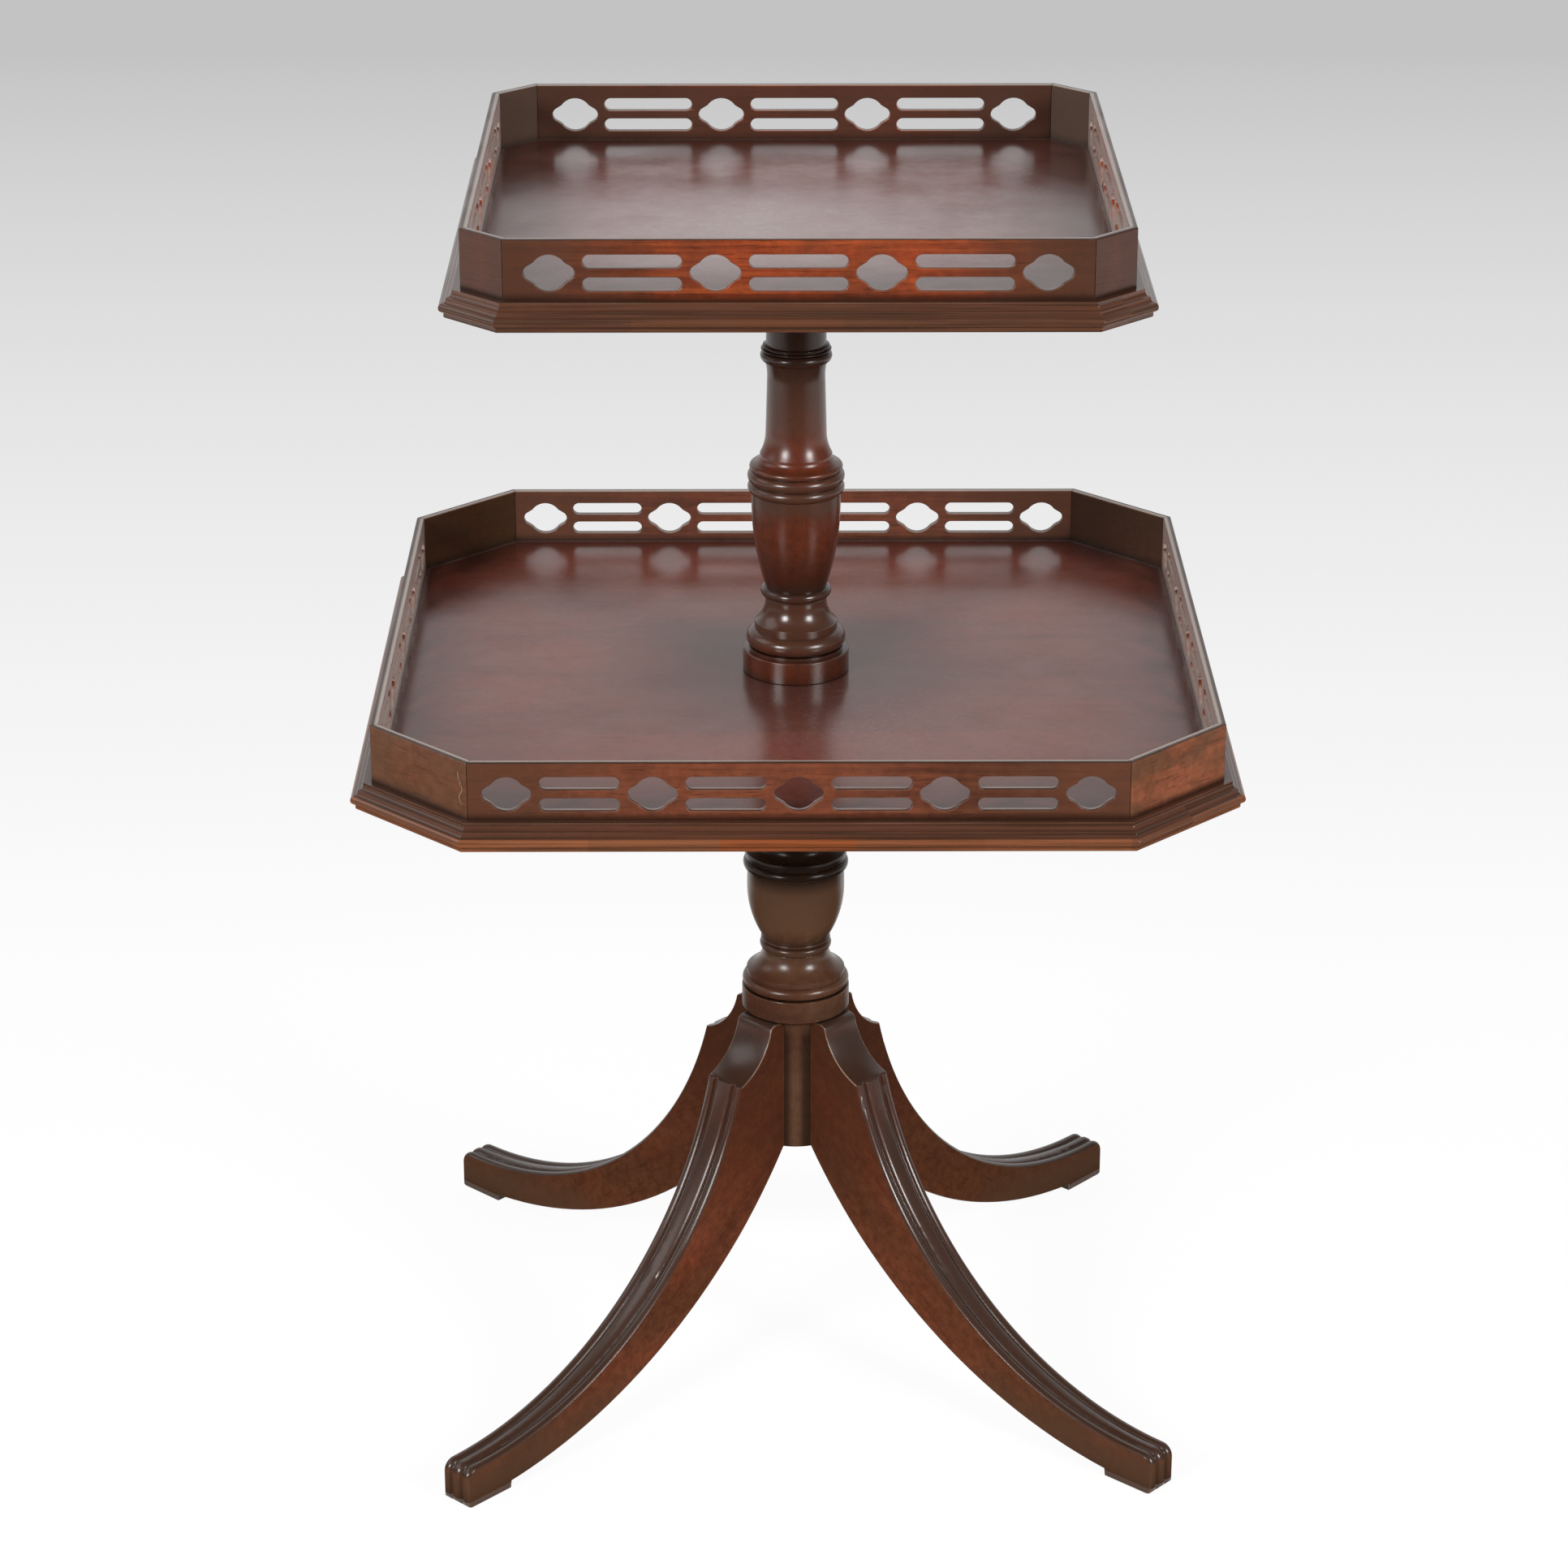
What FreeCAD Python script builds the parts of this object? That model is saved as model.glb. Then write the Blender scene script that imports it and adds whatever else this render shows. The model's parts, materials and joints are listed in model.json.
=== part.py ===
import FreeCAD, Part
import math
import os

# Two-tier dumbwaiter table, millimetres, +Z up.
# The origin is on the floor under the stem's axis. The front is -Y and the trays stand square to X and Y.

# Trays
lower_floor = 452.0            # height of the lower tray's floor
upper_floor = 734.0            # height of the upper tray's floor
lower_half_width = 242.0       # axis to the outer face of a lower side wall
lower_cant_length = 58.1       # how far a lower canted corner cuts back along each side
upper_half_width = 185.5       # axis to the outer face of an upper side wall
upper_cant_length = 24.7       # how far an upper canted corner cuts back along each side

# Gallery walls, set on edge in a groove round each board
wall_thickness = 4.8
wall_height = 34.0             # above the tray floor
wall_tongue = 3.0              # depth of the wall's foot in the board
groove_clearance = 0.05
mitre_gap = 0.3                # glue line at each mitred corner
rim_round = 1.0                # rounding of the walls' top edges

# Piercing of the side walls: eared roundels with a pair of slots between each two
roundel_width = 27.8           # over the two ears
roundel_height = 20.4          # also the diameter of the round middle
roundel_ear = 3.9              # half height of an ear where it meets its shoulders
roundel_ear_depth = 2.4        # how far an ear bows out past that
roundel_shoulder_deg = 35.0    # where the shoulders leave the round middle
fret_foot = 5.2                # solid wall below the piercing
slot_bar = 5.0                 # bar between the two slots of a pair
slot_gap = 4.3                 # wall between a slot and a roundel
lower_roundels = 5
upper_roundels = 4
lower_fret_end = 7.7           # solid wall from the last roundel to the corner
upper_fret_end = 11.3

# Moulded edge of the boards, from the wall's face outwards and from the floor down
ledge_width = 4.8
fillet_drop = 1.0
upper_cove_width = 2.6
upper_cove_drop = 3.2
upper_cove_hollow = 0.9
step_width = 0.5
step_drop = 0.2
lower_cove_width = 1.7
lower_cove_drop = 2.8
lower_cove_hollow = 0.6
bead_radius = 2.6
band_inset = 0.2               # the lower band stands back from the bead's quirk
band_drop = 2.0
band_round = 1.2               # rounding under the band
board_thickness = (fillet_drop + upper_cove_drop + step_drop + lower_cove_drop
                   + 2 * bead_radius + band_drop + band_round)

# Stem
hub_bottom = 142.0
hub_radius = 29.0
drum_bottom = 228.0            # the drum sits on the leg cuffs
drum_radius = 33.3
drum_height = 14.6             # up to the groove over the drum
urn_radius = 30.1
vase_radius = 26.8
lower_shaft_radius = 19.4
upper_shaft_radius = 17.3
flange_radius = 32.0           # discs that carry and clasp the trays
flange_round = 1.0
rod_radius = 6.0
rod_clearance = 0.4            # in the lower column
thread_clearance = 0.02        # rod in the nut and in the upper column
rod_engagement = 60.0          # rod inside the upper column
running_gap = 0.3              # between the lower tray's floor and the disc above it
running_clearance = 0.05       # radial, in the two pivots
seat_clearance = 0.02          # radial, bushes in wood

# Pivot of the lower tray
sleeve_radius = 9.0
tray_bush_radius = 13.0
thrust_washer_thickness = 1.5
tray_washer_radius = 26.0

# Pivot of the upper tray
pivot_radius = 6.0
pivot_length = 38.0
pivot_plate_side = 70.0
pivot_plate_thickness = 2.5
pivot_plate_clearance = 0.1
pivot_bush_radius = 10.0
pivot_bush_length = 42.0
pivot_washer_radius = 24.0
plate_screw_spacing = 50.0

# Screws
screw_shank_radius = 2.0
screw_head_radius = 4.2
screw_head_drop = 2.2          # height of the countersunk head
screw_length = 12.0
screw_clearance = 0.05

# Nut and washer on the foot of the rod, in a recess under the hub
rod_recess_radius = 14.0
rod_recess_depth = 8.0
nut_across_flats = 19.0
nut_height = 10.0
rod_washer_radius = 13.0
rod_washer_thickness = 2.0
rod_end = 3.0                  # rod showing below the nut

# Legs, as profiles of distance from the axis against height
leg_turn = 2.0                 # the legs stand turned this many degrees from the trays' diagonals
leg_reach = 300.0
leg_width = 28.0               # at the cuff
toe_width = 21.5
toe_height = 26.0
toe_flat = 10.0                # level stretch at the end of the leg's back
toe_round = 8.0
sole_round = 4.0
pad_length = 36.0              # flat pad under the toe
pad_step = 4.6                 # step behind the pad
underside_root = 26.0          # where the leg's underside starts, beside the hub
underside_hollow = 30.5        # bow of the underside below its chord
cuff_ledge = 4.0               # cuff showing beyond the drum
cuff_nosing = 1.8              # rounded drop at the ledge's edge
cuff_reach = 65.4              # the arris where the reeding starts
cuff_drop = 32.3               # height of the cuff
cuff_hollow = 5.6              # depth of the cuff's cove
reed_width = 6.0               # the narrow reed along each edge of the back
reed_depth = 1.7
reed_skim = 0.12               # the reed's crest below the middle band
quirk_width = 1.0              # groove between a reed and the middle band
flank_width = 3.6              # rounded edge of the middle band
reed_lead_deg = 4.0            # how far the cutter's sweep starts before the arris
leg_clearance = 0.05           # leg against the hub

# Dovetail that holds a leg in the hub
tongue_neck = 11.0
tongue_flare = 16.0
tongue_depth = 11.0
tongue_height = 72.0
tongue_clearance = 0.1

# Brace under the hub and legs
brace_radius = 24.0
brace_thickness = 2.5
brace_arm_width = 14.0
brace_arm_reach = 74.0
brace_screw_reach = 60.0

lower_underside = lower_floor - board_thickness
upper_underside = upper_floor - board_thickness
lower_column_top = lower_underside - thrust_washer_thickness
upper_column_base = lower_floor + running_gap
upper_column_top = upper_underside - thrust_washer_thickness
margin = 5.0                   # how far cutting tools run past the work

origin = FreeCAD.Vector(0, 0, 0)
z_axis = FreeCAD.Vector(0, 0, 1)
quarter_turns = {"front": 0, "right": 90, "back": 180, "left": 270}
corner_turns = {"front_right": 45, "back_right": 135, "back_left": 225, "front_left": 315}


def vec(x, y, z):
    return FreeCAD.Vector(x, y, z)


def turned_about_z(shape, degrees):
    copy = shape.copy()
    copy.rotate(origin, z_axis, degrees)
    return copy


def moved(shape, x, y, z):
    copy = shape.copy()
    copy.translate(vec(x, y, z))
    return copy


def outline(points, place):
    """Closed wire through (u, v, swell) points. Swell bows the edge that ends there to the right of its travel."""
    edges = []
    for (u0, v0, _), (u1, v1, swell) in zip(points, points[1:] + points[:1]):
        if (u0, v0) == (u1, v1):
            continue
        length = math.hypot(u1 - u0, v1 - v0)
        if swell == 0:
            edges.append(Part.LineSegment(place(u0, v0), place(u1, v1)).toShape())
        else:
            mid_u = (u0 + u1) / 2 + swell * (v1 - v0) / length
            mid_v = (v0 + v1) / 2 - swell * (u1 - u0) / length
            edges.append(Part.Arc(place(u0, v0), place(mid_u, mid_v), place(u1, v1)).toShape())
    return Part.Wire(edges)


def prism(points, place, sweep):
    return Part.Face(outline(points, place)).extrude(sweep)


def flat_prism(points, bottom, top):
    """Upright prism on (x, y, swell) points."""
    return prism(points, lambda x, y: vec(x, y, bottom), vec(0, 0, top - bottom))


def disc(radius, bottom, top):
    return Part.makeCylinder(radius, top - bottom, vec(0, 0, bottom))


def ring(outer, inner, bottom, top):
    return disc(outer, bottom, top).cut(disc(inner, bottom, top))


def turned(points):
    """Solid of revolution about the stem's axis from (radius, height, swell) points, from the bottom up."""
    base = (0, points[0][1], 0)
    top = (0, points[-1][1], 0)
    face = Part.Face(outline([base] + points + [top], lambda r, z: vec(r, 0, z)))
    return face.revolve(origin, z_axis, 360)


def octagon(half_width, cant):
    """Plan of a square of that half width with canted corners, as (x, y, swell) points."""
    a = half_width - cant
    corners = [(a, -half_width), (half_width, -a), (half_width, a), (a, half_width),
               (-a, half_width), (-half_width, a), (-half_width, -a), (-a, -half_width)]
    return [(x, y, 0) for x, y in corners]


def grown_cant(cant, growth):
    """Cant of an octagon after all its sides move out by growth."""
    return cant + growth * (2 - math.sqrt(2))


def canted_distance(half_width, cant):
    return (2 * half_width - cant) / math.sqrt(2)


# Countersunk screw along +Z with its head's face at the origin, or the hole for it when grown
def screw(growth=0.0):
    head = Part.makeCone(screw_head_radius + growth, screw_shank_radius + growth, screw_head_drop)
    return head.fuse(Part.makeCylinder(screw_shank_radius + growth, screw_length + growth))


# Boards: the moulded section drawn for one side, cut to the octagon by all eight sides in turn
def edge_section(distance, floor):
    """Section of a board, as (distance, height, swell) points, from beyond its far side round the moulded edge."""
    u = distance + ledge_width
    v = floor - fillet_drop
    far = -2 * distance
    points = [(far, floor - board_thickness, 0), (far, floor, 0), (u, floor, 0), (u, v, 0)]
    u += upper_cove_width
    v -= upper_cove_drop
    points.append((u, v, upper_cove_hollow))
    u += step_width
    v -= step_drop
    points.append((u, v, 0))
    u += lower_cove_width
    v -= lower_cove_drop
    points.append((u, v, lower_cove_hollow))
    v -= 2 * bead_radius
    points.append((u, v, -bead_radius))
    u -= band_inset
    points.append((u, v, 0))
    v -= band_drop
    points.append((u, v, 0))
    points.append((u - band_round, v - band_round, -band_round * (1 - math.sqrt(0.5))))
    return points


def board(half_width, cant, floor):
    length = 3 * half_width
    shape = None
    for side in range(8):
        distance = half_width if side % 2 == 0 else canted_distance(half_width, cant)
        bar = prism(edge_section(distance, floor), lambda u, v: vec(-length / 2, -u, v), vec(length, 0, 0))
        bar = turned_about_z(bar, 45 * side)
        shape = bar if shape is None else shape.common(bar)
    shape = shape.removeSplitter()
    out = groove_clearance
    back = wall_thickness + groove_clearance
    outside = octagon(half_width + out, grown_cant(cant, out))
    inside = octagon(half_width - back, grown_cant(cant, -back))
    foot = floor - wall_tongue - groove_clearance
    groove = flat_prism(outside, foot, floor + margin).cut(flat_prism(inside, foot, floor + margin))
    return shape.cut(groove)


# Gallery walls
def wall(distance, half_length, floor):
    """Front wall with mitred ends, its outer face at y = -distance."""
    trim = mitre_gap / 2 / math.cos(math.radians(22.5))
    tan = math.tan(math.radians(22.5))
    outer = half_length - trim
    inner = half_length - wall_thickness * tan - trim
    near = -distance
    far = wall_thickness - distance
    bottom = floor - wall_tongue
    top = floor + wall_height
    plan = [(-outer, near, 0), (outer, near, 0), (inner, far, 0), (-inner, far, 0)]
    blank = flat_prism(plan, bottom, top)
    bow = rim_round * (1 - math.sqrt(0.5))
    section = [(near, bottom, 0), (far, bottom, 0), (far, top - rim_round, 0), (far - rim_round, top, bow),
               (near + rim_round, top, 0), (near, top - rim_round, bow)]
    return blank.common(prism(section, lambda y, z: vec(-half_length, y, z), vec(2 * half_length, 0, 0)))


def roundel(x, middle):
    """Outline of a round hole with a small ear at each side."""
    r = roundel_height / 2
    cos = r * math.cos(math.radians(roundel_shoulder_deg))
    sin = r * math.sin(math.radians(roundel_shoulder_deg))
    ear = roundel_width / 2 - roundel_ear_depth
    return [(x + cos, middle + sin, 0), (x - cos, middle + sin, r - sin),
            (x - ear, middle + roundel_ear, 0), (x - ear, middle - roundel_ear, roundel_ear_depth),
            (x - cos, middle - sin, 0), (x + cos, middle - sin, r - sin),
            (x + ear, middle - roundel_ear, 0), (x + ear, middle + roundel_ear, roundel_ear_depth)]


def slot(x, middle, length, height):
    a = (length - height) / 2
    r = height / 2
    return [(x + a, middle + r, 0), (x - a, middle + r, 0), (x - a, middle - r, r),
            (x + a, middle - r, 0), (x + a, middle + r, r)]


def pierced_wall(half_width, cant, floor, count, fret_end):
    half_length = half_width - cant
    pitch = (2 * (half_length - fret_end) - roundel_width) / (count - 1)
    slot_length = pitch - roundel_width - 2 * slot_gap
    slot_height = (roundel_height - slot_bar) / 2
    slot_rise = (slot_bar + slot_height) / 2
    middle = floor + fret_foot + roundel_height / 2
    holes = []
    for i in range(count):
        x = (i - (count - 1) / 2) * pitch
        holes.append(roundel(x, middle))
        if i < count - 1:
            holes.append(slot(x + pitch / 2, middle + slot_rise, slot_length, slot_height))
            holes.append(slot(x + pitch / 2, middle - slot_rise, slot_length, slot_height))
    depth = wall_thickness + 2 * margin
    near = -half_width - margin
    tools = [prism(hole, lambda x, z: vec(x, near, z), vec(0, depth, 0)) for hole in holes]
    return wall(half_width, half_length, floor).cut(Part.Compound(tools))


def gallery(name, half_width, cant, floor, count, fret_end):
    side = pierced_wall(half_width, cant, floor, count, fret_end)
    corner = wall(canted_distance(half_width, cant), cant / math.sqrt(2), floor)
    pieces = {name + "_gallery_" + place: turned_about_z(side, turn) for place, turn in quarter_turns.items()}
    for place, turn in corner_turns.items():
        pieces[name + "_gallery_corner_" + place] = turned_about_z(corner, turn)
    return pieces


# Stem: each profile rises from its base, and its shaft takes up what the members above leave
def lower_column():
    b = hub_bottom
    d = drum_bottom
    g = drum_bottom + drum_height
    t = lower_column_top
    edge = flange_radius - flange_round
    profile = [
        (hub_radius, b, 0), (hub_radius, d, 0),                                        # hub between the legs
        (drum_radius - 1.2, d, 0), (drum_radius, d + 1.2, 0.3), (drum_radius, g - 0.6, 0),    # drum
        (drum_radius - 0.6, g, 0.15), (30.2, g + 0.2, 0), (30.2, g + 7.6, 2.85),       # groove and ring
        (30.4, g + 8.0, 0), (30.4, g + 11.0, 0), (20.6, g + 24.8, -2.5),               # fillet and cavetto
        (20.4, g + 25.0, 0), (20.4, g + 30.4, 1.8),                                    # bead
        (21.2, g + 30.8, 0), (21.2, g + 32.4, 0.3), (20.4, g + 33.0, 0),               # small ring
        (urn_radius, g + 66.4, 2.4), (urn_radius - 0.2, g + 78.4, 0),                  # urn
        (urn_radius + 0.1, g + 85.8, 2.4), (31.0, g + 86.2, 0), (31.0, g + 90.6, 0.4),    # rings on the urn
        (29.4, g + 91.2, 0), (24.2, g + 98.4, -1.5), (20.4, g + 116.4, -1.2),          # cove and foot of the shaft
        (lower_shaft_radius, t - 29.0, 0), (lower_shaft_radius + 0.2, t - 26.0, -0.3),    # shaft
        (19.8, t - 17.4, 2.8), (20.6, t - 17.0, 0), (20.6, t - 14.6, 0.5),             # astragal
        (20.0, t - 13.2, 0), (29.0, t - 5.6, -2.4),                                    # cove below the flange
        (edge, t - 5.0, 0), (flange_radius, t - 5.0 + flange_round, 0.3), (flange_radius, t, 0)]
    shape = turned(profile).cut(disc(rod_radius + rod_clearance, b - margin, t + margin))
    shape = shape.cut(disc(rod_recess_radius, b - margin, b + rod_recess_depth))
    for turn in leg_angles().values():
        shape = shape.cut(turned_about_z(tongue(tongue_clearance), turn))
    return shape


def upper_column():
    b = upper_column_base
    t = upper_column_top
    edge = flange_radius - flange_round
    profile = [
        (flange_radius, b, 0), (flange_radius, b + 12.4, 0), (edge, b + 12.4 + flange_round, 0.3),    # disc
        (28.3, b + 13.8, 0), (28.3, b + 15.0, 0), (26.4, b + 15.0, 0), (25.0, b + 26.2, 4.3),    # undercut and torus
        (25.0, b + 30.4, 0), (24.6, b + 30.8, 0.12), (18.6, b + 45.4, -1.9),           # fillet and cavetto
        (18.4, b + 46.6, 0), (18.4, b + 52.9, 2.9),                                    # bead
        (vase_radius - 0.1, b + 103.6, 1.9), (vase_radius, b + 112.0, 0),              # vase
        (27.1, b + 112.2, 0), (27.1, b + 118.6, 1.9),                                  # three rings
        (27.0, b + 125.8, 2.0), (26.6, b + 126.0, 0), (26.4, b + 130.0, 1.4),
        (25.4, b + 130.4, 0), (21.6, b + 136.0, -1.2), (18.2, b + 149.6, -0.9),        # cove and foot of the shaft
        (upper_shaft_radius, t - 84.0, 0), (18.3, t - 71.9, -0.5),                     # shaft
        (18.6, t - 64.6, 2.85), (20.7, t - 64.4, 0), (20.7, t - 63.6, 0.2),            # astragal and its two fillets
        (19.0, t - 63.2, 0), (19.0, t - 62.6, 0), (19.7, t - 62.3, 0), (19.7, t - 61.6, 0.2),
        (17.9, t - 61.0, 0), (17.6, t - 27.0, 0), (28.4, t - 10.6, -3.6),              # neck and cove
        (edge, t - 10.0, 0), (flange_radius, t - 10.0 + flange_round, 0.3), (flange_radius, t, 0)]
    shape = turned(profile).cut(disc(rod_radius + thread_clearance, b - margin, b + rod_engagement))
    return shape.cut(disc(pivot_bush_radius + seat_clearance, t - pivot_bush_length, t + margin))


# Legs
def leg_angles():
    """Direction of each leg, counted from +X."""
    diagonals = {"leg_front_left": 225, "leg_front_right": 315, "leg_back_left": 135, "leg_back_right": 45}
    return {name: diagonal + leg_turn for name, diagonal in diagonals.items()}


def tongue(growth=0.0):
    """Dovetail along +X inside the hub, or the slot for it when grown."""
    tip = hub_radius - tongue_depth - growth
    neck = tongue_neck / 2 + growth
    flare = tongue_flare / 2 + growth
    root = hub_radius + 1.0
    plan = [(tip, -flare, 0), (root, -neck, 0), (root, neck, 0), (tip, flare, 0)]
    bottom = hub_bottom - (margin if growth > 0 else 0)
    return flat_prism(plan, bottom, hub_bottom + tongue_height + growth)


def sabre_curve():
    """Centre and radius of the leg's back: an arc through the cuff's arris, level at the toe."""
    run = leg_reach - toe_flat - cuff_reach
    rise = drum_bottom - cuff_drop - toe_height
    radius = (run ** 2 + rise ** 2) / (2 * rise)
    return vec(leg_reach - toe_flat, 0, toe_height + radius), radius


def underside_curve():
    """Centre and radius of the leg's underside, and its two ends."""
    root = vec(underside_root, 0, hub_bottom)
    heel = vec(leg_reach - pad_length, 0, pad_step)
    chord = heel - root
    away = vec(-chord.z, 0, chord.x).normalize()
    radius = ((chord.Length / 2) ** 2 + underside_hollow ** 2) / (2 * underside_hollow)
    centre = (root + heel) * 0.5 + away * (radius - underside_hollow)
    return centre, radius, root, heel


def leg_profile():
    """Side of the leg as (distance, height, swell) points, from the hub over the back and along the underside."""
    centre, radius = sabre_curve()
    arris = (cuff_reach, drum_bottom - cuff_drop)
    level = (leg_reach - toe_flat, toe_height)
    half_chord = math.hypot(arris[0] - level[0], arris[1] - level[1]) / 2
    back_swell = radius - math.sqrt(radius ** 2 - half_chord ** 2)
    toe_swell = toe_round * (1 - math.sqrt(0.5))
    sole_swell = sole_round * (1 - math.sqrt(0.5))
    _, _, root, heel = underside_curve()
    nosing = drum_radius + cuff_ledge
    inside = hub_radius / 2
    return [
        (inside, drum_bottom, 0), (drum_radius, drum_bottom, 0), (nosing, drum_bottom - cuff_nosing, -0.5),
        (arris[0], arris[1], cuff_hollow), (level[0], level[1], back_swell),
        (leg_reach - toe_round, toe_height, 0), (leg_reach, toe_height - toe_round, -toe_swell),
        (leg_reach, sole_round, 0), (leg_reach - sole_round, 0, -sole_swell),
        (heel.x + 0.6, 0, 0), (heel.x, pad_step, 0), (root.x, root.z, -underside_hollow), (inside, hub_bottom, 0)]


def reed_path():
    """Line that the reeding follows, from above the cuff's arris along the back and down the toe."""
    centre, radius = sabre_curve()
    first = math.atan2(drum_bottom - cuff_drop - centre.z, cuff_reach - centre.x)
    last = math.radians(-90)
    start = first - math.radians(reed_lead_deg)

    def at(angle):
        return centre + vec(math.cos(angle), 0, math.sin(angle)) * radius

    level = at(last)
    corner = vec(leg_reach - toe_round, 0, toe_height - toe_round)
    lead = vec(corner.x, 0, toe_height)
    side = vec(leg_reach, 0, corner.z)
    bow = corner + vec(toe_round, 0, toe_round) * math.sqrt(0.5)
    edges = [Part.Arc(at(start), at((start + last) / 2), level).toShape(),
             Part.LineSegment(level, lead).toShape(), Part.Arc(lead, bow, side).toShape(),
             Part.LineSegment(side, vec(leg_reach, 0, -margin)).toShape()]
    return Part.Wire(edges), at(start), (centre - at(start)).normalize()


def reed_cutter():
    """Waste above one edge reed and its quirk. The leg's side face lies in y = 0, with the leg towards -y."""
    path, start, up = reed_path()
    quirk = reed_width + quirk_width
    top = margin - 1.0
    section = [(-margin, top, 0), (-margin, -reed_depth, 0), (0, -reed_depth, 0),
               (reed_width, -reed_depth, -(reed_depth - reed_skim)), (quirk, -reed_depth, 0),
               (quirk + flank_width, 0.25, -0.45), (quirk + flank_width, top, 0)]
    wire = outline(section, lambda t, n: start + vec(0, -t, 0) + up * n)
    sweep = Part.BRepOffsetAPI.MakePipeShell(path)
    sweep.setBiNormalMode(vec(0, 1, 0))
    sweep.add(wire)
    sweep.build()
    sweep.makeSolid()
    return sweep.shape()


def brace_screw_place(shape):
    """Puts a +Z screw square to the underside of the leg along +X, its head's face on the brace's lower face."""
    centre, radius, _, _ = underside_curve()
    angle = -math.acos((brace_screw_reach - centre.x) / radius)
    inward = vec(-math.cos(angle), 0, -math.sin(angle))
    copy = shape.copy()
    copy.Placement = FreeCAD.Placement(centre - inward * (radius + brace_thickness), FreeCAD.Rotation(z_axis, inward))
    return copy


def leg():
    """Leg along +X."""
    blank = prism(leg_profile(), lambda u, v: vec(u, -leg_width / 2, v), vec(0, leg_width, 0))
    taper = math.atan2((leg_width - toe_width) / 2, leg_reach - cuff_reach)
    end = leg_reach + margin
    end_half = leg_width / 2 - (end - cuff_reach) * math.tan(taper)
    half = leg_width / 2
    plan = [(0, -half, 0), (cuff_reach, -half, 0), (end, -end_half, 0), (end, end_half, 0),
            (cuff_reach, half, 0), (0, half, 0)]
    shape = blank.common(flat_prism(plan, -margin, drum_bottom + margin))
    shape = shape.cut(disc(hub_radius + leg_clearance, -margin, drum_bottom + margin))
    cutter = reed_cutter()
    cutter.rotate(vec(cuff_reach, 0, 0), z_axis, -math.degrees(taper))
    cutter.translate(vec(0, half, 0))
    shape = shape.cut(cutter).cut(cutter.mirror(origin, vec(0, 1, 0)))
    shape = shape.fuse(tongue()).removeSplitter()
    return shape.cut(brace_screw_place(screw(screw_clearance)))


# Brace: a ring under the hub with an arm bent along the underside of each leg
def leg_brace():
    centre, radius, _, _ = underside_curve()
    left = vec(centre.x, -brace_arm_width / 2, centre.z)
    outer = Part.makeCylinder(radius + brace_thickness, brace_arm_width, left, vec(0, 1, 0))
    inner = Part.makeCylinder(radius, brace_arm_width, left, vec(0, 1, 0))
    window = Part.makeBox(brace_arm_reach, brace_arm_width, hub_bottom, vec(0, -brace_arm_width / 2, 0))
    arm = outer.cut(inner).common(window).cut(brace_screw_place(screw(screw_clearance)))
    shape = disc(brace_radius, hub_bottom - brace_thickness, hub_bottom)
    for turn in leg_angles().values():
        shape = shape.fuse(turned_about_z(arm, turn))
    return shape.removeSplitter().cut(disc(rod_recess_radius, 0, hub_bottom + margin))


def pivot_plate():
    """Square plate let into the upper board, with the pin that turns in the column."""
    half = pivot_plate_side / 2
    bottom = upper_underside
    plate = Part.makeBox(2 * half, 2 * half, pivot_plate_thickness, vec(-half, -half, bottom))
    pin = disc(pivot_radius, bottom - pivot_length, bottom)
    return plate.fuse(pin).cut(Part.Compound(plate_screws(screw_clearance)))


def plate_screws(growth=0.0):
    half = plate_screw_spacing / 2
    return [moved(screw(growth), x, y, upper_underside) for x in (-half, half) for y in (-half, half)]


def upper_tray_board():
    half = pivot_plate_side / 2 + pivot_plate_clearance
    side = 2 * half
    depth = pivot_plate_thickness + margin
    recess = Part.makeBox(side, side, depth, vec(-half, -half, upper_underside - margin))
    shape = board(upper_half_width, upper_cant_length, upper_floor)
    return shape.cut(recess).cut(Part.Compound(plate_screws(screw_clearance)))


def lower_tray_board():
    shape = board(lower_half_width, lower_cant_length, lower_floor)
    return shape.cut(disc(tray_bush_radius + seat_clearance, lower_underside - margin, lower_floor + margin))


# Rod through the stem, with its nut and washer in the hub's recess
washer_top = hub_bottom + rod_recess_depth
nut_top = washer_top - rod_washer_thickness
nut_bottom = nut_top - nut_height
nut_corner = nut_across_flats / math.sqrt(3)
nut_plan = [(nut_corner * math.cos(math.radians(60 * i)), nut_corner * math.sin(math.radians(60 * i)), 0)
            for i in range(6)]

nodes = {}
nodes["upper_tray_board"] = upper_tray_board()
nodes.update(gallery("upper", upper_half_width, upper_cant_length, upper_floor, upper_roundels, upper_fret_end))
nodes["lower_tray_board"] = lower_tray_board()
nodes.update(gallery("lower", lower_half_width, lower_cant_length, lower_floor, lower_roundels, lower_fret_end))
nodes["upper_column"] = upper_column()
nodes["lower_column"] = lower_column()
one_leg = leg()
for leg_name, leg_angle in leg_angles().items():
    nodes[leg_name] = turned_about_z(one_leg, leg_angle)
nodes["leg_brace"] = leg_brace()
nodes["leg_brace_screws"] = Part.Compound(
    [turned_about_z(brace_screw_place(screw()), turn) for turn in leg_angles().values()])
nodes["column_rod"] = disc(rod_radius, nut_bottom - rod_end, upper_column_base + rod_engagement)
nodes["rod_washer"] = ring(rod_washer_radius, rod_radius + rod_clearance, nut_top, washer_top)
nodes["rod_nut"] = flat_prism(nut_plan, nut_bottom, nut_top).cut(
    disc(rod_radius + thread_clearance, nut_bottom, nut_top))
nodes["tray_sleeve"] = ring(sleeve_radius, rod_radius + thread_clearance, lower_column_top, upper_column_base)
nodes["tray_washer"] = ring(tray_washer_radius, sleeve_radius + rod_clearance, lower_column_top, lower_underside)
nodes["tray_bush"] = ring(tray_bush_radius, sleeve_radius + running_clearance, lower_underside, lower_floor)
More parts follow.
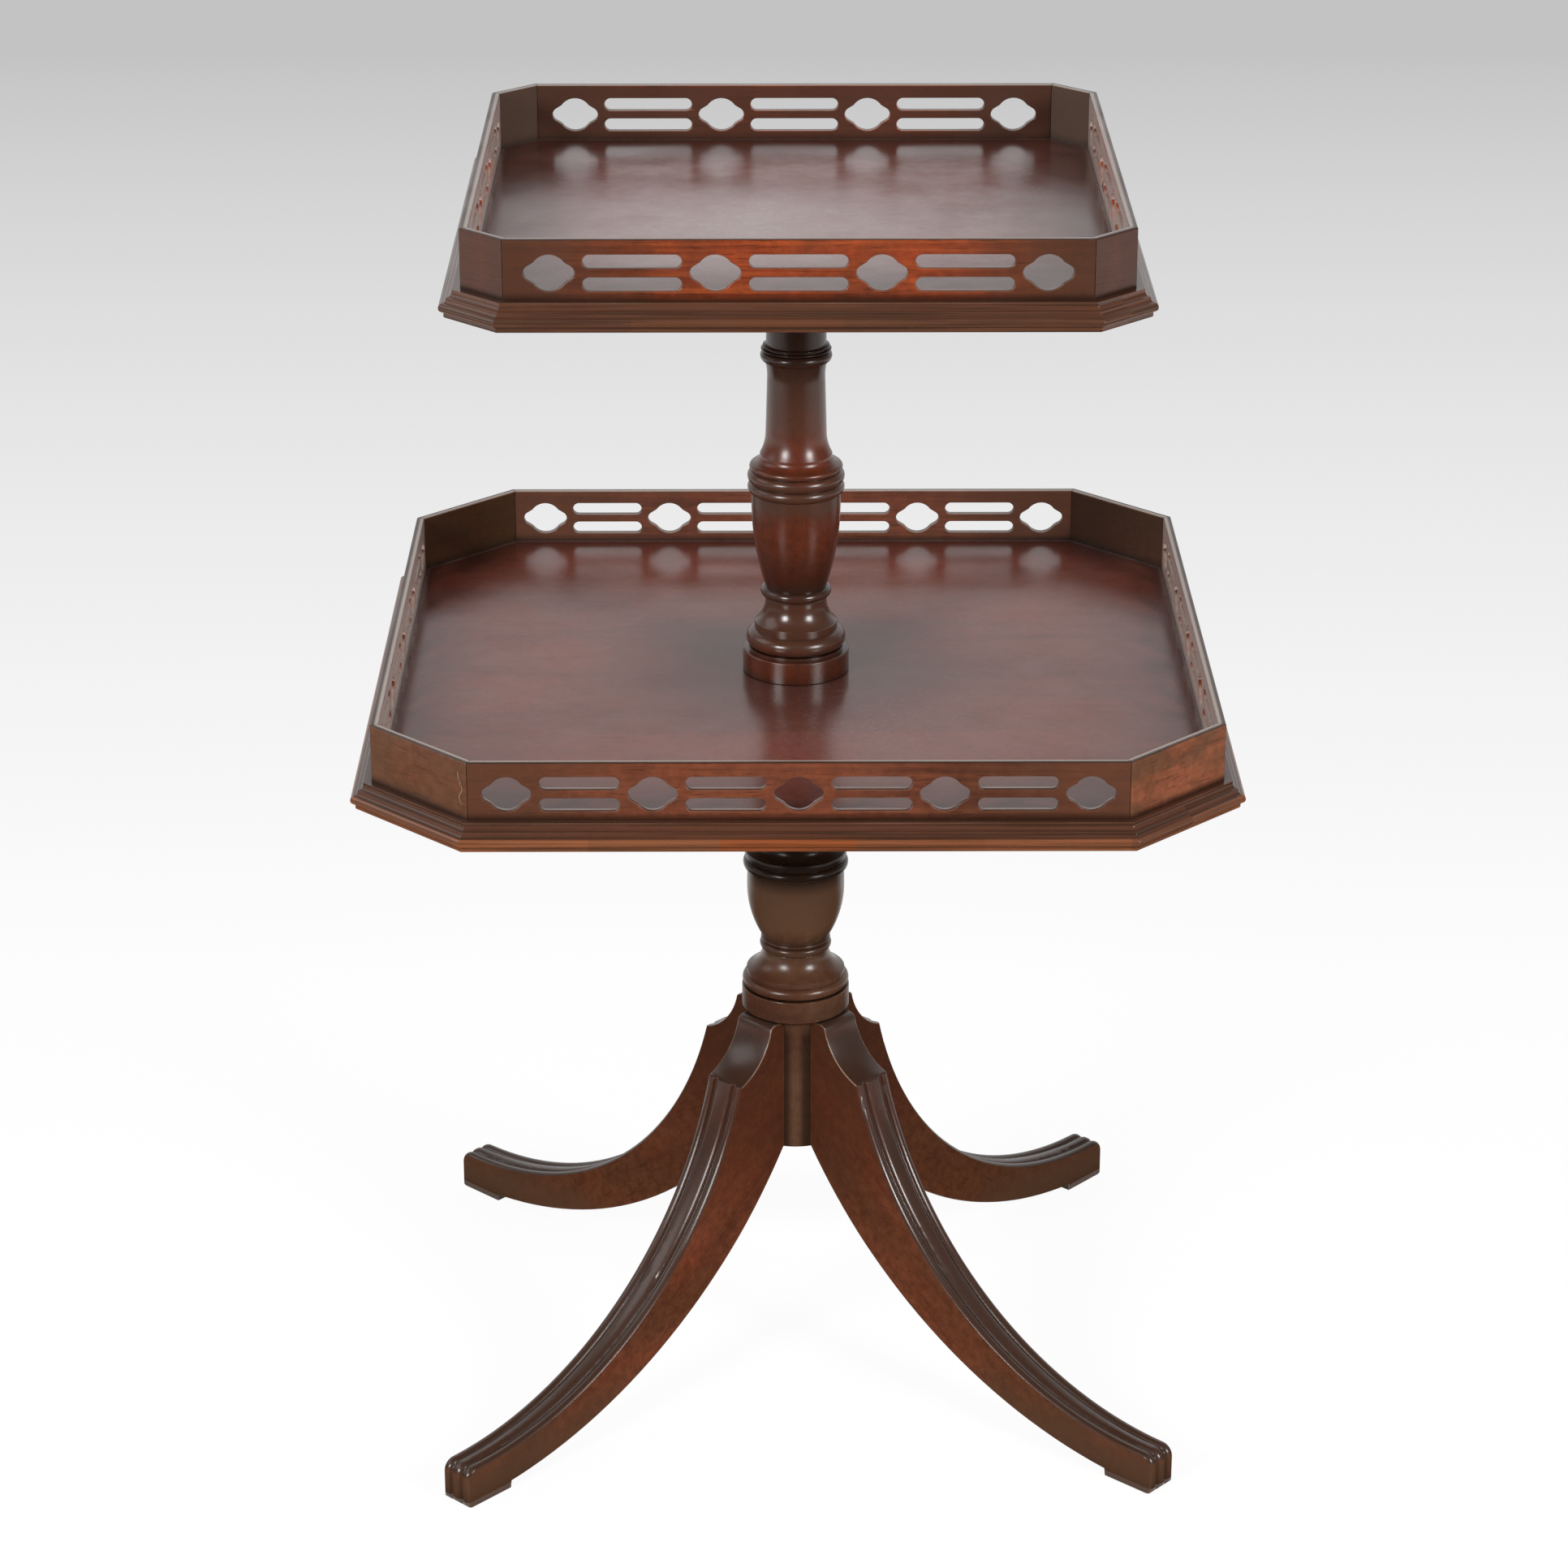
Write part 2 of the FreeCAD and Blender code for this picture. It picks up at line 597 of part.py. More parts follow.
nodes["pivot_bush"] = ring(pivot_bush_radius, pivot_radius + running_clearance,
                           upper_column_top - pivot_bush_length, upper_column_top)
nodes["pivot_washer"] = ring(pivot_washer_radius, pivot_radius + rod_clearance, upper_column_top, upper_underside)
nodes["pivot_plate"] = pivot_plate()
nodes["pivot_plate_screws"] = Part.Compound(plate_screws())

os.makedirs("parts", exist_ok=True)
for node, shape in nodes.items():
    shape.exportStep("parts/" + node + ".step")
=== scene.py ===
import bpy
import bmesh
import json
import math
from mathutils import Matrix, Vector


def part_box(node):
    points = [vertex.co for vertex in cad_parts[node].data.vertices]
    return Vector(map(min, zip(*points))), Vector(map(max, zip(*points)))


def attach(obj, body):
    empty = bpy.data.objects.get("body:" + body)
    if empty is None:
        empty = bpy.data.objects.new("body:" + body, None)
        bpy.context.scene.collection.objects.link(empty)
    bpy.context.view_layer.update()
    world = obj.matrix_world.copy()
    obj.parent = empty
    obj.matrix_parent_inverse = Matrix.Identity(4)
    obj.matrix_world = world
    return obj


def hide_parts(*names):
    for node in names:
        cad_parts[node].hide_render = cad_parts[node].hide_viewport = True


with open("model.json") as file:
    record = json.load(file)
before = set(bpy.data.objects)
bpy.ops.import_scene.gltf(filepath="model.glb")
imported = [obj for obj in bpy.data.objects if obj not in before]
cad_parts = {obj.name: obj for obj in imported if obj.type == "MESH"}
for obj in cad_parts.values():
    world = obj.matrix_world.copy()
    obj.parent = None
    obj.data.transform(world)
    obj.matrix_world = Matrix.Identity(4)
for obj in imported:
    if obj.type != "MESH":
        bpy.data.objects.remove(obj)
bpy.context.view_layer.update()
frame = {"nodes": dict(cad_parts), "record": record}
bodyOf = {node: body for body, nodes in frame["record"]["behaviour"]["bodies"].items() for node in nodes}
slotOf = {part["node"]: part["material_slot"] for part in frame["record"]["subparts"]}
print("frame loaded:", len(frame["nodes"]), "pieces")


def hexColour(text):  # sRGB hex to linear RGBA
    parts = [int(text[i:i + 2], 16) / 255 for i in (0, 2, 4)]
    return tuple(c / 12.92 if c <= 0.04045 else ((c + 0.055) / 1.055) ** 2.4 for c in parts) + (1.0,)


def metres(*sizes):  # from millimetres
    return [size / 1000 for size in sizes]


def addNode(tree, kind, inputs, give=0, **settings):  # a node with its settings, values and links; gives one output
    made = tree.nodes.new(kind)
    for name, value in settings.items():
        setattr(made, name, value)
    for name, value in inputs.items():
        if isinstance(value, bpy.types.NodeSocket):
            tree.links.new(value, made.inputs[name])
        else:
            made.inputs[name].default_value = value
    return made.outputs[give] if made.outputs else None


def mix(tree, share, under, over):  # colours, as hex text or as an output
    under, over = [hexColour(c) if isinstance(c, str) else c for c in (under, over)]
    return addNode(tree, "ShaderNodeMix", {"Factor": share, "A": under, "B": over}, "Result", data_type="RGBA")


def fade(tree, value, span, low=0.0, high=1.0, soft=False):  # low to high while the value crosses the span
    ends = {"From Min": span[0], "From Max": span[1], "To Min": low, "To Max": high}
    kind = "SMOOTHSTEP" if soft else "LINEAR"
    return addNode(tree, "ShaderNodeMapRange", {"Value": value, **ends}, interpolation_type=kind)


def maths(tree, operation, *values, **settings):
    return addNode(tree, "ShaderNodeMath", dict(enumerate(values)), operation=operation, **settings)


def noise(tree, where, size=1000.0, **others):  # size in millimetres
    return addNode(tree, "ShaderNodeTexNoise", {"Vector": where, "Scale": 1000 / size, **others})


def stretched(tree, where, size):  # the place for a pattern of this length and width, in millimetres
    length, width = size
    return addNode(tree, "ShaderNodeMapping", {"Vector": where, "Scale": (1000 / length, 1000 / width, 1000 / width)})


def ramp(tree, value, stops, kind="LINEAR"):  # colours at set values
    made = addNode(tree, "ShaderNodeValToRGB", {"Fac": value}, "Color")
    colours = made.node.color_ramp
    colours.interpolation = kind
    while len(colours.elements) < len(stops):
        colours.elements.new(1.0)
    for element, (position, colour) in zip(colours.elements, stops):
        element.position = position
        element.color = colour
    return made


def objectPlace(tree):
    return addNode(tree, "ShaderNodeTexCoord", {}, "Object")


def splitPlace(tree, where):  # X, Y and Z by name
    return addNode(tree, "ShaderNodeSeparateXYZ", {"Vector": where}).node.outputs


def outFromStem(tree, place):  # metres from the stem's axis
    flat = addNode(tree, "ShaderNodeVectorMath", {0: place, 1: (1, 1, 0)}, operation="MULTIPLY")
    return addNode(tree, "ShaderNodeVectorMath", {0: flat}, "Value", operation="LENGTH")


def facingUp(tree):  # 1 where the surface faces up, -1 where it faces down
    return splitPlace(tree, addNode(tree, "ShaderNodeNewGeometry", {}, "Normal"))["Z"]


def emptyMaterial(name):
    material = bpy.data.materials.new(name)
    material.use_nodes = True
    material.node_tree.nodes.clear()
    return material, material.node_tree


def dress(piece, material):
    slots = piece.data.materials
    slots.clear()
    slots.append(material)


easing = {
    "merge": 0.01,                     # millimetres between points that become one
    "sameFace": 0.3,                   # degrees between faces that become one
    "sharp": 35.0,                     # degrees from which an edge can be rubbed
    "smooth": 42.0,                    # degrees up to which an edge is shaded smooth
    "flatSmooth": 2.0, "flat": 300.0,  # the same beside a large flat face, and its square millimetres
}


def easedCopy(node, ease, wanted, mend=None):  # a copy of a CAD piece whose chosen outer edges are rubbed round
    shape = bmesh.new()
    shape.from_mesh(frame["nodes"][node].data)
    bmesh.ops.remove_doubles(shape, verts=shape.verts, dist=easing["merge"] / 1000)
    if mend:
        mend(shape)
    same, sharp = math.radians(easing["sameFace"]), math.radians(easing["sharp"])
    bmesh.ops.dissolve_limit(shape, angle_limit=same, verts=shape.verts, edges=shape.edges)
    edges = [e for e in shape.edges if e.is_manifold and e.is_convex and e.calc_face_angle() > sharp and wanted(e)]
    rubbed = shape.faces.layers.float.new("rubbed")   # the material reads this as wear and painted glint
    eased = bmesh.ops.bevel(shape, geom=edges, offset=ease / 1000, offset_type="OFFSET", affect="EDGES", segments=2,
                            profile=0.5, clamp_overlap=False, material=-1)
    for face in eased["faces"]:
        face[rubbed] = 1.0
    for face in shape.faces:
        face.smooth = True
    for edge in shape.edges:   # large flat faces keep their own shading up to their edges
        flat = any(face.calc_area() > easing["flat"] / 1e6 for face in edge.link_faces)
        edge.smooth = edge.calc_face_angle(0) < math.radians(easing["flatSmooth" if flat else "smooth"])
    mesh = bpy.data.meshes.new(node + "_eased")
    shape.to_mesh(mesh)
    shape.free()
    piece = bpy.data.objects.new(node + "_eased", mesh)
    bpy.context.scene.collection.objects.link(piece)
    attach(piece, bodyOf[node])
    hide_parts(node)
    return piece


# Mahogany under old shellac polish: red-brown straight grain with dark pore lines, soft reflections that
# sharpen at a low angle, dirt and painted shade in the hollows, browned patches, and pale edges that are part
# rubbed wear and part painted glint. Sizes are in millimetres, and a fade is the two values of its noise or
# shadow between which something comes in.
mahogany = {
    "turn": 0.0, "tilt": 0.0,                      # degrees about Z, then Y, that lay the grain along X
    "dark": "4a2216", "mid": "6a3220", "light": "83442c",
    "pore": "2a130d", "recess": "20150e", "wornAndGlint": "b39a86", "aged": "463020",
    "figure": (260.0, 34.0), "figureAmount": 1.0,  # length and width of the broad grain
    "stripe": (190.0, 5.0), "stripeAmount": 0.7,   # and of the fine grain
    "pores": (16.0, 0.9), "poresAmount": 0.5,      # drawn twice as wide as real pores so that they show
    "zone": (60.0, 90.0), "zoneAmount": 0.3,       # browned patches, along and across the grain
    "mottle": 6.0, "mottleFade": (0.62, 0.36), "mottleAmount": 0.3,
    "poreDepth": 0.05, "ripple": 55.0, "rippleDepth": 0.08,
    "patch": 38.0, "patchFade": (0.35, 0.65), "roughness": (0.24, 0.36),
    "recessReach": 8.0, "recessFade": (0.85, 0.25), "recessAmount": 0.8,
    "edgeReach": 1.6, "edgeFade": (0.62, 0.30), "edgeAmount": 0.6, "edgeRound": 0.6, "easedWearAndGlint": 0.5,
    "rubFade": (0.40, 0.62), "rubLeast": 0.25,     # the rubbing follows the patches
    "specular": 0.4,
}
grains = {  # noise detail, distortion and fade, and whether it comes in softly
    "figure": (4.0, 0.5, (0.32, 0.60), True),
    "stripe": (3.0, 0.15, (0.36, 0.70), True),
    "pores": (1.0, 0.0, (0.58, 0.70), False),
    "zone": (2.0, 0.4, (0.42, 0.60), True),
}


def woodBase(tree, look):  # grain colour, roughness and pores before the dirt and painted shade, the wear and painted glint, and the polish
    place = objectPlace(tree)
    turned = addNode(tree, "ShaderNodeMapping", {"Vector": place, "Rotation": (0, 0, -math.radians(look["turn"]))})
    lay = addNode(tree, "ShaderNodeMapping", {"Vector": turned, "Rotation": (0, math.radians(look["tilt"]), 0)})
    shares = {}
    for kind, (detail, distortion, span, soft) in grains.items():
        pattern = noise(tree, stretched(tree, lay, look[kind]), Detail=detail, Distortion=distortion)
        shares[kind] = fade(tree, pattern, span, high=look[kind + "Amount"], soft=soft)
    blotch = noise(tree, place, look["mottle"], Detail=5.0, Roughness=0.7)
    spotted = fade(tree, blotch, look["mottleFade"], high=look["mottleAmount"])
    colour = mix(tree, shares["figure"], look["dark"], look["mid"])
    for share, over in ((shares["stripe"], "light"), (shares["zone"], "aged"), (spotted, "pore"),
                        (shares["pores"], "pore")):
        colour = mix(tree, share, colour, look[over])
    cloud = noise(tree, place, look["patch"], Detail=3.0)
    roughness = fade(tree, cloud, look["patchFade"], *look["roughness"])
    return {"place": place, "turned": turned, "colour": colour, "roughness": roughness, "porous": shares["pores"],
            "cloud": cloud, "blotch": blotch}


def woodFinish(material, tree, base, look):  # dirt and painted shade in hollows, pale edges of rubbed wear and painted glint, relief and the polish
    reach = look["recessReach"] / 1000
    # painted shade: occlusion darkens hollows and the places where parts meet, together with their dirt
    hollow = addNode(tree, "ShaderNodeAmbientOcclusion", {"Distance": reach}, "AO", samples=6)
    dirtAndShade = fade(tree, hollow, look["recessFade"], high=look["recessAmount"])
    colour = mix(tree, dirtAndShade, base["colour"], look["recess"])
    # pale edges: part rubbed wear, part painted glint where a rounded arris would catch the light
    reach = look["edgeReach"] / 1000
    inside = addNode(tree, "ShaderNodeAmbientOcclusion", {"Distance": reach}, "AO", samples=6, inside=True,
                     only_local=True)
    edge = fade(tree, inside, look["edgeFade"], high=look["edgeAmount"])
    # the pale edges, rubbed wear and painted glint, follow the patches
    rubbed = fade(tree, base["cloud"], look["rubFade"], look["rubLeast"])
    eased = addNode(tree, "ShaderNodeAttribute", {}, "Fac", attribute_name="rubbed")
    edge = maths(tree, "MULTIPLY_ADD", eased, look["easedWearAndGlint"], edge, use_clamp=True)
    edge = maths(tree, "MULTIPLY", edge, rubbed)
    if "exposed" in base:   # joints that nothing rubs keep their colour
        edge = maths(tree, "MULTIPLY", edge, base["exposed"])
    colour = mix(tree, edge, colour, look["wornAndGlint"])
    relief = addNode(tree, "ShaderNodeBevel", {"Radius": look["edgeRound"] / 1000}, samples=4)
    wave = noise(tree, base["place"], look["ripple"], Detail=1.0)
    for height, depth, sunk in ((wave, "rippleDepth", False), (base["porous"], "poreDepth", True)):
        steps = {"Height": height, "Distance": look[depth] / 1000, "Normal": relief}
        relief = addNode(tree, "ShaderNodeBump", steps, invert=sunk)
    shader = addNode(tree, "ShaderNodeBsdfPrincipled", {
        "Base Color": colour, "Roughness": base["roughness"], "IOR": 1.5, "Specular IOR Level": look["specular"],
        "Normal": relief})
    addNode(tree, "ShaderNodeOutputMaterial", {"Surface": shader})
    return material


# Tray boards: purple-brown tops hazed partly by dulled polish and partly by a painted reflection of the bright
# backdrop, with painted shade along the walls, scuffed and dusty against the walls, over darker moulded edges
# with a bead of short cross-grained lengths, some of them bright orange-brown
lowerBoard = dict(
    mahogany, dark="783626", mid="8c402c", light="934831", stripeAmount=0.3, poresAmount=0.25, poreDepth=0.015,
    zoneAmount=0.15, mottleAmount=0.25, patch=60.0, roughness=(0.17, 0.25), recessReach=6.0, specular=0.45,
    halfWidth=242.0, cantedDistance=301.2, wall=4.8,           # stem to the walls' outer faces, walls' thickness
    floor=452.0, topSpan=(0.0, 1.0),                           # height of the top, and where the edge gives way to it
    under="4f3527", underAmount=0.5, underSpan=(2.0, 4.0),     # plain underside, from this far below the top
    # the haze is partly dulled polish and partly painted reflection of the bright backdrop, kept off the walls; the
    # margin is painted shade along them
    hazeAndSheen="96706c", hazeSize=32.0, hazeFade=(0.28, 0.66), hazeAmount=0.28, hazeSpan=(6.0, 45.0), hazeLeast=0.1,
    red="8c4638", redSize=48.0, redFade=(0.44, 0.62), redAmount=0.3, margin="3a2722", marginAmount=0.75,
    ring="48261b", ringSpan=(150.0, 45.0), ringAmount=0.85,    # painted shadow and dark reflection of the stem, round it
    scuff="b7a4a4", scuffSize=3.2, scuffFade=(0.52, 0.62), scuffAmount=0.12, scuffPlace=(0.05, -0.10, 0.452),
    scuffReach=120.0, bloomReach=192.0, bloomAmount=0.12,      # pale bloom about the scuffs, in the haze colour, so partly painted reflection
    dust="b8a79e", dustReach=4.0, dustAmount=0.7,
    edge="51392a", edgeShare=0.75, streak=(150.0, 1.8), edgeRed="5f3d2d", edgeRedFade=(0.52, 0.64), edgeRedAmount=0.6,
    edgeDark="30241a", edgeDarkFade=(0.56, 0.36), edgeDarkAmount=0.65,
    overhang=12.0, beadSpan=(7.0, 7.8), beadAmount=0.9,        # from the walls out, and from the floor down
    beadLengths=(0.0, 0.12, 0.268, 0.412, 0.56, 0.70, 0.86),   # share of the way along a side's bead
    beadColours=("8a563c", "995c3b", "8c5638", "96502c", "8a5234", "8e5638", "7c4e38"))
upperBoard = dict(
    lowerBoard, specular=0.52, halfWidth=185.5, cantedDistance=244.9, floor=734.0, hazeAndSheen="c6aead", hazeAmount=0.5,
    hazeSpan=(6.0, 80.0), redAmount=0.35, ringAmount=0.0, scuff="c6babb", scuffSize=7.0, scuffAmount=0.6,
    scuffPlace=(-0.025, -0.035, 0.734), scuffReach=110.0, bloomReach=176.0, bloomAmount=0.75, edge="5a3f2e",
    beadAmount=0.55, beadColours=("5f4130", "5b3c2e", "66422e", "68402a", "5e3e2d", "62412e", "5c3d2e"))


def boardTop(tree, base, look, inward):  # haze that is partly painted reflection, stains, painted shade along the walls, painted shadow and dark reflection of the stem, scuffs and dust
    place = base["place"]
    warm = noise(tree, base["turned"], look["redSize"], Detail=5.0, Roughness=0.6, Distortion=0.8)
    warm = fade(tree, warm, look["redFade"], high=look["redAmount"])
    top = mix(tree, warm, base["colour"], look["red"])
    inside = fade(tree, inward, metres(*look["hazeSpan"]), look["hazeLeast"], soft=True)
    hazeAndSheenShare = noise(tree, place, look["hazeSize"], Detail=6.0, Roughness=0.7)
    hazeAndSheenShare = fade(tree, hazeAndSheenShare, look["hazeFade"], high=look["hazeAmount"])
    top = mix(tree, maths(tree, "MULTIPLY", hazeAndSheenShare, inside), top, look["hazeAndSheen"])
    # painted shade: a darker strip along the walls
    outside = maths(tree, "MULTIPLY_ADD", inside, -look["marginAmount"], look["marginAmount"])
    top = mix(tree, outside, top, look["margin"])
    stemShadeShare = fade(tree, outFromStem(tree, place), metres(*look["ringSpan"]), high=look["ringAmount"], soft=True)
    top = mix(tree, stemShadeShare, top, look["ring"])
    away = addNode(tree, "ShaderNodeVectorMath", {0: place, 1: look["scuffPlace"]}, "Value", operation="DISTANCE")
    bloom = fade(tree, away, metres(look["bloomReach"], 0.0), high=look["bloomAmount"], soft=True)
    top = mix(tree, bloom, top, look["hazeAndSheen"])
    scuffed = fade(tree, away, metres(look["scuffReach"], 0.0), high=look["scuffAmount"])
    fleck = noise(tree, place, look["scuffSize"], Detail=4.0, Roughness=0.6, Distortion=1.2)
    fleck = fade(tree, fleck, look["scuffFade"])
    top = mix(tree, maths(tree, "MULTIPLY", scuffed, fleck), top, look["scuff"])
    dusty = fade(tree, inward, metres(look["wall"] + look["dustReach"], look["wall"]), high=look["dustAmount"])
    return mix(tree, maths(tree, "MULTIPLY", dusty, base["blotch"]), top, look["dust"])


def boardEdge(tree, base, look, inward, along, level, drop):  # grain along each side, and a bead in several lengths
    run = addNode(tree, "ShaderNodeCombineXYZ", {"X": along, "Y": inward, "Z": level})
    streaky = noise(tree, stretched(tree, run, look["streak"]), Detail=4.0, Roughness=0.65)
    reddish = fade(tree, streaky, look["edgeRedFade"], high=look["edgeRedAmount"])
    darker = fade(tree, streaky, look["edgeDarkFade"], high=look["edgeDarkAmount"])
    onBead = fade(tree, drop, metres(*look["beadSpan"]), high=look["beadAmount"])
    halfSide = (look["halfWidth"] + look["overhang"]) / 1000
    share = maths(tree, "MULTIPLY_ADD", along, 0.5 / halfSide, 0.5)
    tints = [hexColour(tint) for tint in look["beadColours"]]
    lengths = ramp(tree, share, list(zip(look["beadLengths"], tints)), "CONSTANT")
    colour = mix(tree, look["edgeShare"], base["colour"], look["edge"])
    colour = mix(tree, reddish, colour, look["edgeRed"])
    colour = mix(tree, onBead, colour, lengths)
    return mix(tree, darker, colour, look["edgeDark"])


def makeBoardWood(name, look):
    material, tree = emptyMaterial(name)
    base = woodBase(tree, look)
    split = splitPlace(tree, base["place"])
    sideways = maths(tree, "ABSOLUTE", split["X"])
    forward = maths(tree, "ABSOLUTE", split["Y"])
    toSide = maths(tree, "SUBTRACT", look["halfWidth"] / 1000, maths(tree, "MAXIMUM", sideways, forward))
    reach = maths(tree, "ADD", sideways, forward)
    toCorner = maths(tree, "MULTIPLY_ADD", reach, -math.sqrt(0.5), look["cantedDistance"] / 1000)
    inward = maths(tree, "MINIMUM", toSide, toCorner)   # metres in from the walls' outer faces
    drop = maths(tree, "SUBTRACT", look["floor"] / 1000, split["Z"])
    onSide = maths(tree, "GREATER_THAN", sideways, forward)
    along = addNode(tree, "ShaderNodeMix", {"Factor": onSide, "A": split["X"], "B": split["Y"]}, "Result")
    plain = mix(tree, look["underAmount"], base["colour"], look["under"])
    beneath = fade(tree, drop, metres(*look["underSpan"]))
    middle = mix(tree, beneath, boardTop(tree, base, look, inward), plain)
    rim = boardEdge(tree, base, look, inward, along, split["Z"], drop)
    base["colour"] = mix(tree, fade(tree, inward, metres(*look["topSpan"])), rim, middle)
    return woodFinish(material, tree, base, look)


dress(frame["nodes"]["lower_tray_board"], makeBoardWood("polished mahogany lower board", lowerBoard))
dress(frame["nodes"]["upper_tray_board"], makeBoardWood("polished mahogany upper board", upperBoard))
print("boards dressed")

# Gallery walls: thin straight-grained strips, red in the middle of each length and dull towards the corners,
# with the fretwork's cut edges rubbed round, a painted highlight on the rims and cut edges where they face up,
# painted shade along the foot, and the side walls' inner faces paler with painted reflection
lowerWalls = dict(
    mahogany, dark="5a3021", mid="77402a", light="89492e", stripe=(220.0, 3.2), roughness=(0.25, 0.36), specular=0.42,
    floor=452.0, height=34.0, outer=242.0, thick=4.8,           # top of the board, and the wall on it
    ends="5c3a29", endSpan=(60.0, 185.0), endAmount=0.75, foot="291913", footTop=4.0, footAmount=0.75,
    inner="8a726a", innerAmount=0.1, innerFade=(-0.12, -0.16),  # faces that look towards the stem
    rim="c4b6ac", rimDark="3a2419", rimShares=(0.40, 0.62),     # painted highlight, pale from this part of the thickness inwards
    rimAmount=0.85, holeAmount=0.5, rimSpan=(3.0, 2.0), upFade=(0.35, 0.9), edgeAmount=0.0,
    ease=0.45, easedWearAndGlint=0.15, mitreGap=8.0, rimGap=3.0,        # edges this near to mitre, rim or foot stay sharp
    crack=None, crackColour="b5a08c", crackWidth=(0.3, 0.09), crackAmount=0.8, crackWave=11.111, crackSwing=16.0,
    crackEnds=((28.0, 26.0), (7.0, 9.0)))
upperWalls = dict(
    lowerWalls, dark="732e17", mid="974021", light="b25327", floor=734.0, outer=185.5, ends="493124",
    endSpan=(45.0, 160.0), endAmount=0.9, inner="4c3228", innerAmount=0.85)
lowerCorners = dict(
    lowerWalls, dark="7a4228", mid="8c4a2c", light="985a38", aged="5a4531", zone=(60.0, 22.0), zoneAmount=0.6,
    mottleAmount=0.45, outer=301.2, ends="6e4b34", endSpan=(-45.0, 45.0), endAmount=0.45)
upperCorners = dict(
    upperWalls, mottleAmount=0.45, outer=244.9, ends="46291b", endSpan=(-60.0, 14.0), endAmount=0.92, inner="5a483d")
wallTurns = {"front": 0, "back": 0, "left": 90, "right": 90, "corner_front_right": 45, "corner_back_left": 45,
             "corner_front_left": 135, "corner_back_right": 135}
ownLooks = {  # what single walls change: side walls' inner faces paler with painted reflection, tints, among them a darker front-left and a lighter front-right corner that are painted shade and painted light, and a crack this far along from the middle
    "left": dict(inner="c4afa8", innerAmount=0.9),
    "right": dict(inner="c4afa8", innerAmount=0.8),
    # painted shade and painted light: a darker copy for the front-left corner, a lighter one for the front-right
    "lower_gallery_corner_front_left": dict(mid="744733", light="80533e", crack=-34.5),
    "lower_gallery_corner_front_right": dict(mid="ae5e3e", light="b66c4a"),
    "lower_gallery_corner_back_left": dict(inner="483322", innerAmount=0.8),
    "lower_gallery_corner_back_right": dict(inner="402d20", innerAmount=0.8),
}


def crackLine(tree, look, along, rise):  # a pale line that wanders up the wall
    wander = {"W": rise, "Scale": 1000 / look["crackWave"], "Detail": 3.0}
    wander = addNode(tree, "ShaderNodeTexNoise", wander, noise_dimensions="1D")
    middle, swing = metres(look["crack"] + look["crackSwing"] / 2, look["crackSwing"])
    line = maths(tree, "MULTIPLY_ADD", wander, swing, along)
    line = maths(tree, "ABSOLUTE", maths(tree, "SUBTRACT", line, middle))
    cracked = fade(tree, line, metres(*look["crackWidth"]), high=look["crackAmount"])
    for span in look["crackEnds"]:
        cracked = maths(tree, "MULTIPLY", cracked, fade(tree, rise, metres(*span)))
    return cracked


def makeWallWood(name, look):
    material, tree = emptyMaterial(name)
    base = woodBase(tree, look)
    split = splitPlace(tree, base["turned"])
    dull = fade(tree, maths(tree, "ABSOLUTE", split["X"]), metres(*look["endSpan"]), high=look["endAmount"], soft=True)
    colour = mix(tree, dull, base["colour"], look["ends"])
    rise = maths(tree, "SUBTRACT", split["Z"], look["floor"] / 1000)
    # painted shade along the foot, where the wall meets the board
    low = fade(tree, rise, metres(look["footTop"], 0.0), high=look["footAmount"])
    colour = mix(tree, low, colour, look["foot"])
    shape = addNode(tree, "ShaderNodeTexCoord", {}, "Normal")
    outward = addNode(tree, "ShaderNodeVectorMath", {0: shape, 1: base["place"]}, "Value", operation="DOT_PRODUCT")
    # inner faces in their own tint; on the side walls it is paler, a painted reflection
    within = fade(tree, outward, look["innerFade"], high=look["innerAmount"])
    colour = mix(tree, within, colour, look["inner"])
    depth = maths(tree, "SUBTRACT", look["outer"] / 1000, maths(tree, "ABSOLUTE", split["Y"]))   # from the outer face
    highlightShare = fade(tree, depth, metres(*[share * look["thick"] for share in look["rimShares"]]))
    rimHighlight = mix(tree, highlightShare, look["rimDark"], look["rim"])
    nearTop = metres(*[look["height"] - gap for gap in look["rimSpan"]])
    amount = fade(tree, rise, nearTop, look["holeAmount"], look["rimAmount"])
    # painted highlight on the rims and on cut edges that face up
    upward = maths(tree, "MULTIPLY", fade(tree, facingUp(tree), look["upFade"]), amount)
    colour = mix(tree, upward, colour, rimHighlight)
    if look["crack"] is not None:
        colour = mix(tree, crackLine(tree, look, split["X"], rise), colour, look["crackColour"])
    base["colour"] = colour
    return woodFinish(material, tree, base, look)


def fretEdge(node, look, axis):  # tells the fretwork's edges, which lie clear of the mitres, the rim and the foot
    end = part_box(node)[1][axis] - look["mitreGap"] / 1000
    bottom, top = metres(look["floor"] + look["rimGap"], look["floor"] + look["height"] - look["rimGap"])
    return lambda edge: all(bottom < v.co.z < top and abs(v.co[axis]) < end for v in edge.verts)


for tier, straight, canted in (("upper", upperWalls, upperCorners), ("lower", lowerWalls, lowerCorners)):
    woods = {}
    for side, turn in wallTurns.items():
        node = tier + "_gallery_" + side
        corner = side.startswith("corner")
        look = dict(canted if corner else straight, turn=turn)
        look.update(ownLooks.get(side, {}), **ownLooks.get(node, {}))
        kind = (turn, corner, look["crack"], look["innerAmount"], look["mid"])
        if kind not in woods:
            woods[kind] = makeWallWood("polished mahogany " + tier + " wall " + str(len(woods) + 1), look)
        piece = frame["nodes"][node]
        if not corner:
            piece = easedCopy(node, look["ease"], fretEdge(node, look, 0 if turn == 0 else 1))
        dress(piece, woods[kind])
print("galleries dressed")

